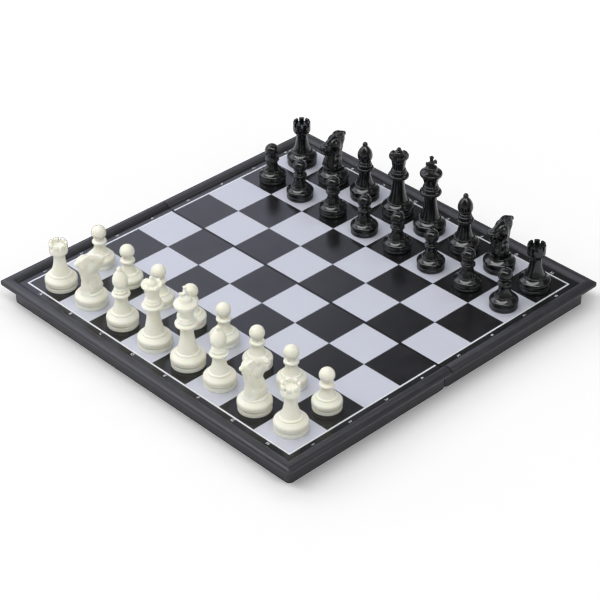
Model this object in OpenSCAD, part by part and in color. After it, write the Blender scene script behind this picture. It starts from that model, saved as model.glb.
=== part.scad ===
// Folding magnetic travel chess set, opened flat, with its men in the starting position.
// Millimetres. +X runs from file a to file h, +Y from rank 1 to rank 8, +Z up from the table.
// The origin is on the table, under the middle of the fold.

/* [Playing surface] */
// Side of one square
square = 27.8; // [25:0.1:32]
// Width of the dark strip between rank 4 and rank 5
fold_strip = 1.8; // [1.2:0.1:4]
// Height of the playing surface above the table
surface_z = 13; // [12:0.5:24]
// Width of the silver line round the squares
line_w = 1; // [0.6:0.1:2]
// Width of the flat margin that carries the line and the coordinates
margin_w = 4.9; // [3:0.1:10]
// Thickness of the printed film
film_t = 0.4; // [0.3:0.05:1]
// Thickness of the silver foil let into the film
foil_t = 0.1; // [0.05:0.05:0.2]
// Strip of film left round each foil square
foil_land = 0.05; // [0.02:0.01:0.2]
// Thickness of the steel sheet under the film
steel_t = 0.4; // [0.3:0.1:1]
// Gap between the film's edge and the rim
sheet_gap = 0.15; // [0.05:0.05:0.5]

/* [Case] */
// Gap between the two halves when the case lies open
seam_gap = 0.6; // [0.4:0.1:1]
// Width of the rounded rim outside the margin
rim_w = 7.8; // [7.5:0.1:12]
// Height of the rim's crest above the playing surface
rim_h = 2.6; // [1:0.1:3.5]
// Thickness of the rim at its outer edge
lip_t = 0.5; // [0.3:0.1:2]
// Radius of the rim's outer corners, seen from above
lip_corner_r = 2.5; // [1:0.5:6]
// How far the skirt stands in under the rim
skirt_inset = 5.8; // [4:0.1:7]
// Thickness of the skirt
skirt_t = 1.5; // [1.2:0.1:2.4]
// Radius of the skirt's outer corners
skirt_corner_r = 2.5; // [2.5:0.5:8]
// Thickness of the plate under the steel sheet
plate_t = 2; // [1:0.1:3]

/* [Hinge] */
// Distance between the middles of the two hinge links
hinge_spread = 140; // [80:1:160]
// Width of a hinge link
link_w = 10; // [6:0.5:16]
// Radius of a link's round ends
link_end_r = 2.3; // [1.8:0.1:2.6]
// Height of the links above the table
link_lift = 0.3; // [0.2:0.1:0.6]
// Gap between the undersides of the two halves when folded
fold_gap = 0.3; // [0.2:0.1:0.6]
// Diameter of the hinge pins
pin_d = 2; // [1.5:0.1:2.4]
// Radial clearance of a pin in its link
pin_clear = 0.05; // [0.03:0.01:0.1]
// Clearance on each side of a link
link_side_clear = 0.3; // [0.2:0.1:0.6]
// Clearance round a link's end as it swings
swing_clear = 0.3; // [0.2:0.1:0.6]
// Width of each ear that holds a pin
ear_w = 5; // [3:0.5:8]

/* [Closure] */
// Diameter of the magnets that hold the folded case shut
closure_d = 8; // [5:0.5:12]
// Thickness of those magnets
closure_t = 3; // [1.5:0.5:4]
// Wall of the boss round each magnet
closure_wall = 1.5; // [1:0.1:3]
// Distance from the inner faces of the skirt to a magnet's axis
closure_inset = 8; // [8:0.5:20]
// Height of the bosses' ends above the table
closure_lift = 0.2; // [0.1:0.1:1]

/* [Chessmen] */
// Thickness of the cap that closes a man's foot
foot_cap_t = 1; // [0.6:0.1:1.5]
// Wall of a foot round its cap
foot_wall = 1.3; // [0.8:0.1:2.5]
// Gap filled with glue round the cap and the magnet
glue_gap = 0.1; // [0.05:0.05:0.3]
// Diameter of the magnet in a foot
foot_magnet_d = 8; // [5:0.5:10]
// Thickness of the magnet in a foot
foot_magnet_t = 3; // [1:0.5:4]

/* [King] */
// Diameter of the king's foot
king_foot_d = 20; // [18:0.2:24]
// Height of the king's foot
king_foot_h = 9.6; // [8:0.1:12]
// Diameter of the step on top of the king's foot
king_step_d = 13; // [11:0.1:15]
// Diameter of the king's stem at its narrowest
king_stem_d = 7.3; // [5:0.1:8]
// Height of the king's stem
king_stem_h = 16; // [10:0.1:20]
// Diameter of the king's collar
king_collar_d = 13.2; // [11:0.1:15]
// Height of the king's collar
king_collar_h = 3.3; // [2.5:0.1:4.5]
// Diameter of the ring above the king's collar
king_ring_d = 10.2; // [9.4:0.1:11]
// Diameter of the king's cup at its rim
king_cup_d = 13.3; // [10:0.1:15]
// Height of the king's cup
king_cup_h = 8.9; // [6:0.1:11]
// Diameter of the dome on the king's cup
king_dome_d = 7.5; // [6:0.1:9]
// Height of the dome on the king's cup
king_dome_h = 5.1; // [4:0.1:8]
// Width of the king's cross
king_cross_w = 6.4; // [3.5:0.1:7]
// Height of the king's cross, with the foot that stands in the dome
king_cross_h = 8.2; // [6:0.1:9]
// How deep the foot of the king's cross stands in the dome
king_cross_sink = 3.1; // [1:0.1:3.5]
// Thickness of the king's cross
king_cross_t = 2; // [1.2:0.1:2.6]
// Direction that the king's cross faces, counted from the ranks
king_turn = 75; // [0:5:90]

/* [Queen] */
// Diameter of the queen's foot
queen_foot_d = 19.8; // [18:0.2:24]
// Height of the queen's foot
queen_foot_h = 9.6; // [8:0.1:12]
// Diameter of the step on top of the queen's foot
queen_step_d = 12.8; // [11:0.1:15]
// Diameter of the queen's stem at its narrowest
queen_stem_d = 7.2; // [5:0.1:8]
// Height of the queen's stem
queen_stem_h = 15.6; // [10:0.1:20]
// Diameter of the queen's collar
queen_collar_d = 12.6; // [11:0.1:15]
// Height of the queen's collar
queen_collar_h = 3.4; // [2.5:0.1:4.5]
// Diameter of the ring above the queen's collar
queen_ring_d = 10; // [9:0.1:10.6]
// Diameter of the queen's coronet
queen_cup_d = 11.8; // [10:0.1:14]
// Height of the queen's coronet
queen_cup_h = 9.8; // [8:0.1:13]
// Number of points on the queen's coronet
queen_points = 8; // [5:1:12]
// Radius of the notches between those points
queen_notch_r = 1.1; // [0.6:0.1:1.6]
// Diameter of the knob inside the queen's coronet
queen_knob_d = 5.6; // [4:0.1:5.8]
// Diameter of the ball on top of the queen
queen_ball_d = 2.3; // [1.5:0.1:3]

/* [Bishop] */
// Diameter of the bishop's foot
bishop_foot_d = 18.6; // [17:0.2:22]
// Height of the bishop's foot
bishop_foot_h = 9.6; // [8:0.1:12]
// Diameter of the step on top of the bishop's foot
bishop_step_d = 12; // [10:0.1:14]
// Diameter of the bishop's stem at its narrowest
bishop_stem_d = 7.1; // [5:0.1:8]
// Height of the bishop's stem
bishop_stem_h = 9.6; // [7:0.1:14]
// Diameter of the bishop's collar
bishop_collar_d = 10.8; // [10:0.1:13]
// Height of the bishop's collar
bishop_collar_h = 3; // [2.2:0.1:4]
// Diameter of the ring above the bishop's collar
bishop_ring_d = 8.6; // [7.6:0.1:9]
// Diameter of the bishop's mitre
bishop_mitre_d = 9; // [7:0.1:11]
// Height of the bishop's mitre
bishop_mitre_h = 10.7; // [7:0.1:13]
// Diameter of the ball on top of the bishop
bishop_ball_d = 2.9; // [2:0.1:3.6]

/* [Knight] */
// Diameter of the knight's foot
knight_foot_d = 19.4; // [18:0.2:24]
// Height of the knight's foot
knight_foot_h = 9.6; // [8:0.1:12]
// Diameter of the step on top of the knight's foot
knight_step_d = 12.8; // [12:0.1:15]
// Height of the knight's horse above its foot
knight_head_h = 24; // [18:0.2:28]
// Length of the knight's head, from nose to ear
knight_head_l = 20.8; // [17:0.2:24]
// Thickness of the knight's neck
knight_neck_t = 7.4; // [5:0.1:10]

/* [Rook] */
// Diameter of the rook's foot
rook_foot_d = 19.2; // [17:0.2:22]
// Height of the rook's foot
rook_foot_h = 9.6; // [8:0.1:12]
// Diameter of the step on top of the rook's foot
rook_step_d = 12.5; // [10:0.1:14]
// Diameter of the rook's stem at its narrowest
rook_stem_d = 6.8; // [5:0.1:8]
// Height of the rook's stem
rook_stem_h = 11.1; // [7:0.1:14]
// Height of the flare under the rook's turret
rook_flare_h = 3.9; // [2.5:0.1:6]
// Diameter of the rook's turret
rook_turret_d = 10.7; // [9:0.1:13]
// Height of the rook's turret
rook_turret_h = 5.6; // [4:0.1:8]
// Wall of the rook's turret
rook_wall = 1.5; // [1:0.1:2]
// Depth of the well and the gaps in the rook's turret
rook_gap_h = 2.5; // [1.5:0.1:3.5]
// Width of each gap in the turret's wall
rook_gap_w = 1.4; // [0.8:0.1:2]
// Number of gaps in the turret's wall
rook_gaps = 7; // [4:1:9]

/* [Pawn] */
// Diameter of the pawn's foot
pawn_foot_d = 17; // [15:0.2:20]
// Height of the pawn's foot
pawn_foot_h = 8.4; // [7:0.1:11]
// Diameter of the step on top of the pawn's foot
pawn_step_d = 10.8; // [9:0.1:12]
// Diameter of the pawn's stem at its narrowest
pawn_stem_d = 6.5; // [5:0.1:7]
// Height of the pawn's stem
pawn_stem_h = 6.1; // [4:0.1:9]
// Diameter of the pawn's collar
pawn_collar_d = 8.7; // [8:0.1:11]
// Height of the pawn's collar
pawn_collar_h = 2.5; // [2:0.1:3.5]
// Diameter of the pawn's neck
pawn_neck_d = 5.6; // [3:0.1:6]
// Height of the pawn's neck
pawn_neck_h = 1.4; // [0.6:0.1:3]
// Diameter of the pawn's head
pawn_head_d = 8.8; // [7:0.1:10]

/* [Hidden] */
$fn = 64;
eps = 1; // how far a cut runs past the face it opens
arc_steps = 4;
rim_steps = 8;
stem_steps = 6;
stem_power = 2.1;

charcoal = "#3f4048";
ivory = "#efeedc";
ebony = "#1c1c1e";
silver = "#c8ccd8";
steel = "#9a9da3";

// Board
files = 8;
ranks = 4; // ranks on each half
field_x = files / 2 * square;
field_y = fold_strip / 2 + ranks * square;
film_x = field_x + margin_w;
film_y = field_y + margin_w;
case_x = film_x + rim_w;
case_y = film_y + rim_w;
crest_z = surface_z + rim_h;
lip_z = surface_z - lip_t;
floor_z = surface_z - film_t - steel_t;
plate_z = floor_z - plate_t;
seam_y = seam_gap / 2;
skirt_x = case_x - skirt_inset;
skirt_y = case_y - skirt_inset;
tray_x = skirt_x - skirt_t;
tray_y = skirt_y - skirt_t;
tray_corner_r = skirt_corner_r - skirt_t;

// Hinge: each half turns about its own pin, and a link joins the two pins
pin_z = link_end_r + link_lift;
pin_y = pin_z + fold_gap / 2;
edge_r = pin_y - seam_y;
notch_w = link_w + 2 * link_side_clear;
notch_r = link_end_r + swing_clear;
hinge_w = notch_w + 2 * ear_w;

// Closure
boss_d = closure_d + 2 * closure_wall;
closure_x = tray_x - closure_inset;
closure_y = tray_y - closure_inset;

// How far each man stands off the middle of its square, files a to h
RANK_1 = [[1.5, -2], [0, -0.5], [1, -1], [1.5, -1], [0.5, 0.5], [-1, 0.5], [0.5, -0.5], [-0.5, 1]];
RANK_2 = [[-0.5, 1.5], [-1, 0.5], [0, 0], [0, 0], [-1, 1], [0.5, -0.5], [-1, 0.5], [-0.5, 0]];
RANK_7 = [[2, -1.5], [0.5, -2.5], [1, -1.5], [1.5, -2.5], [1, -2], [1, -2], [2, -1.5], [2.5, -1.5]];
RANK_8 = [[-0.5, -1], [1.5, -2], [1, -1.5], [1, -0.5], [0.5, -1], [1.5, -1.5], [2, -1.5], [2.5, -2.5]];

COURT = ["rook", "knight", "bishop", "queen", "king", "bishop", "knight", "rook"];
PAWNS = [for (file = [1:files]) "pawn"];
// Each row of men: colour, rank, kinds and places
ROWS = [
    ["white", 1, COURT, RANK_1],
    ["white", 2, PAWNS, RANK_2],
    ["black", 7, PAWNS, RANK_7],
    ["black", 8, COURT, RANK_8],
];

function file_x(file) = (file - files / 2 - 0.5) * square;
function rank_y(rank) = (rank - ranks - 0.5) * square + (rank > ranks ? 1 : -1) * fold_strip / 2;
// Each man: node name, kind, colour and place
MEN = [for (row = ROWS) for (file = [1:files]) [
    str(row[0], "_", row[2][file - 1], "_", chr(96 + file), row[1]),
    row[2][file - 1],
    row[0],
    [file_x(file), rank_y(row[1]), surface_z] + [for (step = row[3][file - 1]) step, 0],
]];

SIDES = ["white", "black"];
HALF_NODES = ["case", "steel_sheet", "playfield_film", "light_squares", "border_line",
    "hinge_pins", "closure_magnets"];

// ---------- outlines ----------

// Points along the arc from p to q. A positive bend bulges to the right of the way it runs;
// it is the tangent of a quarter of the arc's angle.
function arc(p, q, bend) =
    let (chord = q - p, rise = bend * norm(chord) / 2)
    let (r = (norm(chord) ^ 2 / 4 + rise ^ 2) / (2 * rise))
    let (centre = (p + q) / 2 + [chord.y, -chord.x] / norm(chord) * (rise - r))
    let (start = atan2(p.y - centre.y, p.x - centre.x), turn = 4 * atan(bend))
    [for (k = [1:arc_steps]) let (a = start + turn * k / arc_steps)
        k == arc_steps ? q : centre + abs(r) * [cos(a), sin(a)]];

// A path of [x, y] corners, where [x, y, bend] ends an arc
function bowed(path) = [for (i = [0:len(path) - 1])
    each let (q = [path[i][0], path[i][1]])
    len(path[i]) < 3 ? [q] : arc([path[i - 1][0], path[i - 1][1]], q, path[i][2])];

function flipped(points) = [for (i = [len(points) - 1:-1:0]) [-points[i].x, points[i].y]];
// A closed outline that is the same on both sides of x = 0
function both_sides(points) = concat(points, flipped(points));

// Outlines of the chessmen, from the middle of the foot upwards

function foot(r, step_r, h) = [
    [0, 0],
    [0.955 * r, 0],
    [0.98 * r, 0.05 * h, 0.4],
    [0.98 * r, 0.25 * h],
    [0.955 * r, 0.29 * h, -0.3],
    [0.98 * r, 0.33 * h, -0.3],
    [r, 0.48 * h, 0.25],
    [0.93 * r, 0.72 * h, 0.3],
    [step_r + 0.7, 0.9 * h, -0.05],
    [step_r, h, 0.45],
];

function stem(step_r, stem_r, z, h) = [for (k = [0:stem_steps]) let (left = 1 - k / stem_steps)
    [stem_r + (step_r - 0.4 - stem_r) * pow(left, stem_power), z + h * (1 - left)]];

function collar(r, z, h) = [
    [r - 1, z + 0.25 * h, 0.1],
    [r, z + 0.52 * h, 0.4],
    [r - 0.85, z + 0.92 * h, 0.4],
    [r - 1.7, z + h],
];

function ring(r, z, h) = [
    [r, z + 0.46 * h, 0.5],
    [r - 0.35, z + 0.92 * h, 0.3],
    [r - ring_lip, z + h],
];
ring_h = 1.8;
ring_step = 0.6; // how much smaller the upper ring's radius is
ring_lip = 0.6; // how far a ring stands out from the neck above it

// A foot, stem and collar with one ring or two above it, up to the man's head
function bust(foot_d, foot_h, step_d, stem_d, stem_h, collar_d, collar_h, ring_d) = concat(
    foot(foot_d / 2, step_d / 2, foot_h),
    stem(step_d / 2, stem_d / 2, foot_h, stem_h),
    collar(collar_d / 2, foot_h + stem_h, collar_h),
    ring(ring_d / 2, foot_h + stem_h + collar_h, ring_h),
    ring(ring_d / 2 - ring_step, foot_h + stem_h + collar_h + ring_h, ring_h)
);

king_neck_r = king_ring_d / 2 - ring_step - ring_lip;
king_cup_z = king_foot_h + king_stem_h + king_collar_h + 2 * ring_h;
king_dome_z = king_cup_z + king_cup_h;
king_tip_z = king_dome_z + king_dome_h;
function king_outline() = concat(
    bust(king_foot_d, king_foot_h, king_step_d, king_stem_d, king_stem_h, king_collar_d,
        king_collar_h, king_ring_d),
    let (neck = king_neck_r, wide = king_cup_d / 2, z = king_cup_z, h = king_cup_h)
    let (dome = king_dome_d / 2, top = king_dome_z, dome_h = king_dome_h)
    [
        [neck + 0.25 * (wide - neck), z + 0.42 * h, -0.08],
        [neck + 0.85 * (wide - neck), z + 0.74 * h, -0.08],
        [wide, z + 0.92 * h, 0.3],
        [wide - 0.5, z + h, 0.3],
        [dome, top + 0.2 * dome_h, 0.05],
        [dome - 0.2, top + 0.55 * dome_h],
        [dome - 0.9, top + 0.72 * dome_h, 0.3],
        [1.4, top + dome_h],
        [0, top + dome_h],
    ]
);

queen_neck_r = queen_ring_d / 2 - ring_step - ring_lip;
queen_cup_z = queen_foot_h + queen_stem_h + queen_collar_h + 2 * ring_h;
queen_top_z = queen_cup_z + queen_cup_h;
function queen_outline() = concat(
    bust(queen_foot_d, queen_foot_h, queen_step_d, queen_stem_d, queen_stem_h, queen_collar_d,
        queen_collar_h, queen_ring_d),
    let (neck = queen_neck_r, wide = queen_cup_d / 2, z = queen_cup_z, h = queen_cup_h)
    let (ball = queen_ball_d / 2, knob = queen_knob_d / 2, well = 0.55 * queen_cup_d / 2)
    [
        [neck + 0.15 * (wide - neck), z + 0.33 * h, -0.05],
        [wide - 0.3, z + 0.77 * h, -0.15],
        [wide, z + 0.9 * h, 0.3],
        [wide - 0.4, z + h, 0.3],
        [well, z + 0.9 * h],
        [knob, z + 1.05 * h, 0.1],
        [0.55 * knob, z + 1.2 * h, 0.25],
        [0.8 * ball, z + 1.24 * h],
        [ball, z + 1.24 * h + 0.8 * ball, 0.4],
        [0, z + 1.24 * h + 1.8 * ball, 0.4],
    ]
);

bishop_neck_r = bishop_ring_d / 2 - ring_step - ring_lip;
bishop_mitre_z = bishop_foot_h + bishop_stem_h + bishop_collar_h + 2 * ring_h;
function bishop_outline() = concat(
    bust(bishop_foot_d, bishop_foot_h, bishop_step_d, bishop_stem_d, bishop_stem_h,
        bishop_collar_d, bishop_collar_h, bishop_ring_d),
    let (wide = bishop_mitre_d / 2, z = bishop_mitre_z, h = bishop_mitre_h)
    let (ball = bishop_ball_d / 2)
    [
        [wide, z + 0.32 * h, 0.15],
        [0.83 * wide, z + 0.68 * h, 0.13],
        [0.7 * ball, z + h, 0.1],
        [ball, z + h + 0.7 * ball, 0.4],
        [0, z + h + 1.7 * ball, 0.4],
    ]
);

function rook_outline() = concat(
    foot(rook_foot_d / 2, rook_step_d / 2, rook_foot_h),
    stem(rook_step_d / 2, rook_stem_d / 2, rook_foot_h, rook_stem_h),
    let (low = rook_stem_d / 2, wide = rook_turret_d / 2, well = wide - rook_wall)
    let (z = rook_foot_h + rook_stem_h, turret_z = z + rook_flare_h)
    let (top = turret_z + rook_turret_h)
    [
        [low + 0.3 * (wide - low), z + 0.43 * rook_flare_h, -0.15],
        [wide - 0.1, z + 0.8 * rook_flare_h, 0.25],
        [wide, turret_z, 0.1],
        [wide, top],
        [well, top],
        [well, top - rook_gap_h],
        [0, top - rook_gap_h],
    ]
);

pawn_neck_z = pawn_foot_h + pawn_stem_h + pawn_collar_h;
function pawn_outline() = concat(
    foot(pawn_foot_d / 2, pawn_step_d / 2, pawn_foot_h),
    stem(pawn_step_d / 2, pawn_stem_d / 2, pawn_foot_h, pawn_stem_h),
    let (wide = pawn_collar_d / 2, z = pawn_foot_h + pawn_stem_h, h = pawn_collar_h)
    let (neck = pawn_neck_d / 2, head = pawn_head_d / 2, from = acos(neck / head))
    let (middle = pawn_neck_z + pawn_neck_h + head * sin(from))
    [
        [wide - 0.4, z + 0.2 * h, 0.1],
        [wide, z + 0.5 * h, 0.5],
        [wide - 0.6, z + 0.85 * h, 0.4],
        [neck, z + h, -0.2],
        [neck, pawn_neck_z + pawn_neck_h],
        [head, middle, tan(from / 4)],
        [0, middle + head, tan(90 / 4)],
    ]
);

// The horse seen from its side, nose towards -x: x along its length, y up from its foot
function horse_side() =
    let (l = knight_head_l, h = knight_head_h, base = knight_step_d / 2 - 0.4)
    [
        [-base, -eps],
        [base - 0.4, -eps],
        [0.28 * l, 0.42 * h, -0.03],
        [0.36 * l, 0.66 * h, -0.1],
        [0.49 * l, 0.79 * h],
        [0.46 * l, 0.86 * h, 0.5],
        [0.38 * l, 0.98 * h, -0.1],
        [0.25 * l, h, 0.3],
        [0, 0.965 * h],
        [-0.24 * l, 0.9 * h, 0.05],
        [-0.48 * l, 0.84 * h, 0.05],
        [-0.51 * l, 0.72 * h, 0.3],
        [-0.45 * l, 0.61 * h, 0.3],
        [-0.29 * l, 0.52 * h],
        [-0.36 * l, 0.22 * h, 0.2],
        [-base, -eps, -0.05],
    ];

// The horse seen from the front: x across it, y up from its foot
function horse_front() =
    let (t = knight_neck_t / 2, h = knight_head_h, base = knight_step_d / 2 - 0.6)
    [
        [base, -eps],
        [t + 0.3, 0.25 * h, -0.15],
        [t - 0.3, 0.5 * h, -0.05],
        [t, 0.68 * h, 0.1],
        [0.7 * t, 0.85 * h, 0.1],
        [0.55 * t, h + eps, -0.05],
    ];

// ---------- shared shapes ----------

module along_x(points, l) rotate([90, 0, 90]) linear_extrude(l, center = true) polygon(points);
module along_y(points, l) rotate([90, 0, 0]) linear_extrude(l, center = true) polygon(points);

module slab(x0, x1, y0, y1, z0, z1) translate([x0, y0, z0]) cube([x1 - x0, y1 - y0, z1 - z0]);

module rounded_slab(x, y0, y1, z0, z1, r) {
    slab(-x + r, x - r, y0, y1, z0, z1);
    slab(-x, x, y0 + r, y1 - r, z0, z1);
    for (side = [-1, 1], y = [y0 + r, y1 - r])
        translate([side * (x - r), y, z0]) cylinder(h = z1 - z0, r = r);
}

// What lies on this half's side of the seam
module past_seam() intersection() {
    children();
    slab(-2 * case_x, 2 * case_x, seam_y, 2 * case_y, -eps, crest_z + eps);
}

module on_side(side) rotate([0, 0, side == "white" ? 180 : 0]) children();
module at_hinges() for (x = [-1, 1]) translate([x * hinge_spread / 2, 0, 0]) children();
module at_closures() for (x = [-1, 1]) translate([x * closure_x, closure_y, closure_lift]) children();
module at_light_squares() for (file = [1:files], rank = [ranks + 1:2 * ranks])
    if ((file + rank) % 2 == 1) translate([file_x(file), rank_y(rank), surface_z - foil_t]) children();

module crosswise_pin(y, l, d) translate([-l / 2, y, pin_z]) rotate([0, 90, 0]) cylinder(h = l, d = d);

// ---------- one half of the board, at +Y ----------

// The rim's section is a segment of a circle. This is half of it, from the edge at x up to the
// crest: way is 1 where the crest lies outside that edge and -1 where it lies inside.
function rim_curve(x, way) =
    let (r = (rim_w ^ 2 / 4 + rim_h ^ 2) / (2 * rim_h), slope = 2 * atan(2 * rim_h / rim_w))
    [for (k = [0:rim_steps]) let (a = slope * (1 - k / rim_steps))
        [x + way * (rim_w / 2 - r * sin(a)), crest_z - r * (1 - cos(a))]];

function rim_outline(half) = both_sides(concat([[half, lip_z]], rim_curve(half, -1)));

function dish_outline(half) = both_sides(concat(
    [[half, floor_z]],
    rim_curve(half, 1),
    [[half + rim_w / 2, crest_z + eps]]
));

module rim() intersection() {
    along_x(rim_outline(case_y), 2 * case_x);
    along_y(rim_outline(case_x), 2 * case_y);
    rounded_slab(case_x, -case_y, case_y, lip_z, crest_z, lip_corner_r);
}

module dish() intersection() {
    along_x(dish_outline(film_y), 2 * case_x);
    along_y(dish_outline(film_x), 2 * case_y);
}

module seam_edge_cut() difference() {
    slab(-case_x, case_x, seam_y - eps, pin_y, -eps, pin_z);
    crosswise_pin(pin_y, 3 * case_x, 2 * edge_r);
}

module half_case() color(charcoal) difference() {
    union() {
        difference() {
            past_seam() union() {
                rim();
                rounded_slab(skirt_x, -skirt_y, skirt_y, 0, surface_z, skirt_corner_r);
            }
            dish();
            rounded_slab(tray_x, seam_y + skirt_t, tray_y, -eps, plate_z, tray_corner_r);
        }
        at_hinges() slab(-hinge_w / 2, hinge_w / 2, seam_y, pin_y + link_end_r, 0, plate_z);
        at_closures() cylinder(h = plate_z - closure_lift, d = boss_d);
    }
    seam_edge_cut();
    at_hinges() {
        slab(-notch_w / 2, notch_w / 2, seam_y - eps, pin_y + notch_r, -eps, pin_z + notch_r);
        crosswise_pin(pin_y, hinge_w, pin_d);
    }
    at_closures() translate([0, 0, -eps]) cylinder(h = closure_t + eps, d = closure_d);
}

module sheet(z0, z1) slab(-film_x + sheet_gap, film_x - sheet_gap, seam_y, film_y - sheet_gap, z0, z1);

module steel_sheet() color(steel) sheet(floor_z, floor_z + steel_t);

module foil_square() {
    side = square - 2 * foil_land;
    translate([-side / 2, -side / 2, 0]) cube([side, side, foil_t]);
}

module foil_line() difference() {
    slab(-field_x - line_w, field_x + line_w, fold_strip / 2, field_y + line_w,
        surface_z - foil_t, surface_z);
    slab(-field_x, field_x, 0, field_y, surface_z - foil_t - eps, surface_z + eps);
}

module playfield_film() color(charcoal) difference() {
    sheet(floor_z + steel_t, surface_z);
    // the foils are let in flush, and the cut runs past the top face
    for (rise = [0, foil_t]) translate([0, 0, rise]) {
        at_light_squares() foil_square();
        foil_line();
    }
}

module light_squares() color(silver) at_light_squares() foil_square();

module border_line() color(silver) foil_line();

module hinge_pins() color(steel) at_hinges() crosswise_pin(pin_y, hinge_w, pin_d);

module closure_magnets() color(steel) at_closures() cylinder(h = closure_t, d = closure_d);

// ---------- hinge ----------

module hinge_link(x) color(charcoal) translate([x, 0, 0]) difference() {
    union() {
        slab(-link_w / 2, link_w / 2, -pin_y, pin_y, pin_z - link_end_r, pin_z + link_end_r);
        for (y = [-pin_y, pin_y]) crosswise_pin(y, link_w, 2 * link_end_r);
    }
    for (y = [-pin_y, pin_y]) crosswise_pin(y, link_w + 2 * eps, pin_d + 2 * pin_clear);
}

// ---------- chessmen ----------

function foot_d(kind) =
    kind == "king" ? king_foot_d :
    kind == "queen" ? queen_foot_d :
    kind == "bishop" ? bishop_foot_d :
    kind == "knight" ? knight_foot_d :
    kind == "rook" ? rook_foot_d : pawn_foot_d;

module turned(outline) rotate_extrude($fn = 96) polygon(bowed(outline));

function cross_outline() =
    let (w = king_cross_w / 2, h = king_cross_h / 2, waist = 0.65, flare = 1.1)
    [
        [waist, -waist], [w, -flare], [w, flare], [waist, waist], [flare, h], [-flare, h],
        [-waist, waist], [-w, flare], [-w, -flare], [-waist, -waist], [-flare, -h], [flare, -h],
    ];

module king_body() {
    turned(king_outline());
    translate([0, 0, king_tip_z + king_cross_h / 2 - king_cross_sink]) rotate([0, 0, king_turn])
        along_y(cross_outline(), king_cross_t);
}

module queen_body() difference() {
    turned(queen_outline());
    for (k = [0:queen_points - 1]) rotate([0, 0, 360 * k / queen_points])
        translate([0.6 * queen_cup_d / 2, 0, queen_top_z]) rotate([0, 90, 0])
            cylinder(h = queen_cup_d, r = queen_notch_r);
}

module bishop_body() turned(bishop_outline());

module knight_body() {
    turned(concat(foot(knight_foot_d / 2, knight_step_d / 2, knight_foot_h), [[0, knight_foot_h]]));
    translate([0, 0, knight_foot_h]) intersection() {
        along_x(bowed(horse_side()), knight_foot_d);
        along_y(both_sides(bowed(horse_front())), 2 * knight_head_l);
    }
}

module rook_body() difference() {
    top = rook_foot_h + rook_stem_h + rook_flare_h + rook_turret_h;
    turned(rook_outline());
    for (k = [0:rook_gaps - 1]) rotate([0, 0, 360 * k / rook_gaps])
        slab(0, rook_turret_d, -rook_gap_w / 2, rook_gap_w / 2, top - rook_gap_h, top + eps);
}

module pawn_body() turned(pawn_outline());

module man_body(kind) {
    if (kind == "king") king_body();
    if (kind == "queen") queen_body();
    if (kind == "bishop") bishop_body();
    if (kind == "knight") knight_body();
    if (kind == "rook") rook_body();
    if (kind == "pawn") pawn_body();
}

// A man is its moulded body, a magnet up inside the foot and the cap that closes it
module man(kind, colour) color(colour == "white" ? ivory : ebony) {
    cap_r = foot_d(kind) / 2 - foot_wall;
    magnet_z = foot_cap_t + glue_gap;
    difference() {
        man_body(kind);
        translate([0, 0, -eps]) {
            cylinder(h = eps + foot_cap_t + glue_gap, r = cap_r);
            cylinder(h = eps + magnet_z + foot_magnet_t + glue_gap, d = foot_magnet_d);
        }
    }
    cylinder(h = foot_cap_t, r = cap_r - glue_gap);
    translate([0, 0, magnet_z]) cylinder(h = foot_magnet_t, d = foot_magnet_d - 2 * glue_gap);
}

// ---------- assembly ----------

for (side = SIDES) on_side(side) {
    half_case();
    steel_sheet();
    playfield_film();
    light_squares();
    border_line();
    hinge_pins();
    closure_magnets();
}
hinge_link(-hinge_spread / 2);  // left_hinge_link
hinge_link(hinge_spread / 2);  // right_hinge_link
for (m = MEN) {
    translate(m[3]) on_side(m[2]) man(m[1], m[2]);
}
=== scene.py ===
"""Folding magnetic travel chess set, opened flat, dressed for rendering.

Metres, in the CAD frame: +X from file a to file h, +Y from rank 1 to rank 8, +Z up from the
table. The board's sheets, hinge pins and magnets are the CAD nodes with finishes of their own.
The case halves, the hinge links and the men are modelled here, on the CAD's sizes.
"""

import math

import bmesh
import bpy
import numpy as np
from mathutils import Matrix, Vector


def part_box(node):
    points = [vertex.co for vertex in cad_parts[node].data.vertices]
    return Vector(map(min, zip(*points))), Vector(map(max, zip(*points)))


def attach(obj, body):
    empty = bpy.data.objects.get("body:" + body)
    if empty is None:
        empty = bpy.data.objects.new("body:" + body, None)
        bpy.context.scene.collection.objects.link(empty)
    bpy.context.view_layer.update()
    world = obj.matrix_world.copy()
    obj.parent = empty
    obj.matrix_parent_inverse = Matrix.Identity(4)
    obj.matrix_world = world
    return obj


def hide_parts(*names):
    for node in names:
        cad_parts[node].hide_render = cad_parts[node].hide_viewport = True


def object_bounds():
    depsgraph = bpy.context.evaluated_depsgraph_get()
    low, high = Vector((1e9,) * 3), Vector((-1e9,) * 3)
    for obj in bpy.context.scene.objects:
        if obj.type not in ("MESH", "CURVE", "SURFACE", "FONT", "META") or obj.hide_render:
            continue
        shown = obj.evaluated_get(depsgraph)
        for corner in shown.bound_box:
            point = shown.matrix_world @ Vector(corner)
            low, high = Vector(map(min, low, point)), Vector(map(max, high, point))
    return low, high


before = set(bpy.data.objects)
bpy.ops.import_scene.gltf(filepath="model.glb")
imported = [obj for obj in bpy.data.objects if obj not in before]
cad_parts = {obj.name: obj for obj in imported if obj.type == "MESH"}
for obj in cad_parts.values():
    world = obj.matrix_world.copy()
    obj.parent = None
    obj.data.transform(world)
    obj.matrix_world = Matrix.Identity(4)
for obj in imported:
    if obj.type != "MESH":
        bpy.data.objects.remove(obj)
cad_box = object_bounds()

MM = 0.001

# ---------- camera ----------

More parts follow.
